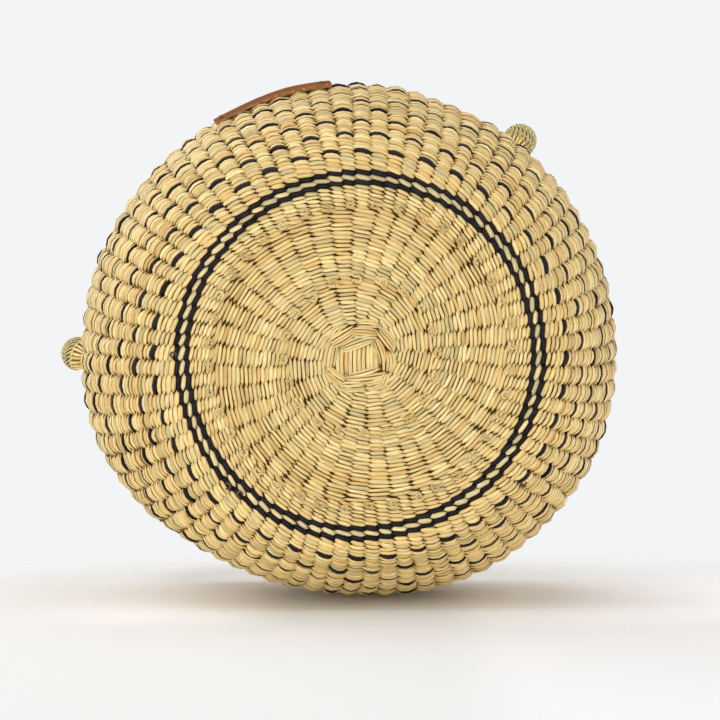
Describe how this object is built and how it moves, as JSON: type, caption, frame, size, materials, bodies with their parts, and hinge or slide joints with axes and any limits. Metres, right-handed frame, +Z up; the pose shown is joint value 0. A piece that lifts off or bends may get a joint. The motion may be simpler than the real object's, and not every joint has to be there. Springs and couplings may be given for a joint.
{
  "type": "bolga basket",
  "caption": "Round twined-grass basket with a rounded belly, a braided rim, arched carry handles that swing on knuckles outside the wall, and a leather label.",
  "frame": {"origin": "centre of the base, on the plane that the basket rests on", "axes": "+Z up through the mouth, -Y to the front where the label is, +X to the right seen from the front"},
  "size_m": [0.4078, 0.3892, 0.4302],
  "materials": {
    "straw": "twined elephant grass, pale straw with greener and yellower strands, satin",
    "dark_straw": "grass dyed blue-black, satin",
    "pale_straw": "twined grass, pale greenish straw",
    "golden_stalks": "bundled grass stalks, golden",
    "handle_wrap": "fine twined grass, dull green",
    "label_leather": "thick brown leather with raw cut edges",
    "thread": "waxed thread"
  },
  "bodies": {
    "basket": {"start_knot": "straw", "rib_fan": "straw", "base_zone_20_ribs": "straw", "base_zone_40_ribs": "straw", "base_zone_80_ribs": "straw", "inner_dark_row": "dark_straw", "pale_row": "pale_straw", "outer_dark_row": "dark_straw", "wall_turn": "straw", "wall_lower": "straw", "wall_belly": "straw", "wall_upper": "straw", "wall_top": "straw", "rim_binding": "straw", "front_handle_right_root": "golden_stalks", "front_handle_left_root": "golden_stalks", "back_handle_right_root": "golden_stalks", "back_handle_left_root": "golden_stalks", "leather_label": "label_leather", "label_tie_lower_left": "thread", "label_tie_lower_right": "thread", "label_tie_upper_left": "thread", "label_tie_upper_right": "thread"},
    "front_handle": {"front_handle_grip_wrap": "handle_wrap", "front_handle_grip_core": "golden_stalks", "front_handle_right_knuckle": "handle_wrap", "front_handle_left_knuckle": "handle_wrap"},
    "back_handle": {"back_handle_grip_wrap": "handle_wrap", "back_handle_grip_core": "golden_stalks", "back_handle_right_knuckle": "handle_wrap", "back_handle_left_knuckle": "handle_wrap"}
  },
  "joints": [
    {"name": "front_handle_swing", "type": "hinge", "parent": "basket", "child": "front_handle", "pos_m": [-0.0021, -0.07897, 0.228], "axis": [1, 0.0046, 0], "range_deg": [-18, 95]},
    {"name": "back_handle_swing", "type": "hinge", "parent": "basket", "child": "back_handle", "pos_m": [0.0021, 0.07342, 0.228], "axis": [-1, -0.0049, 0], "range_deg": [-18, 95]}
  ]
}
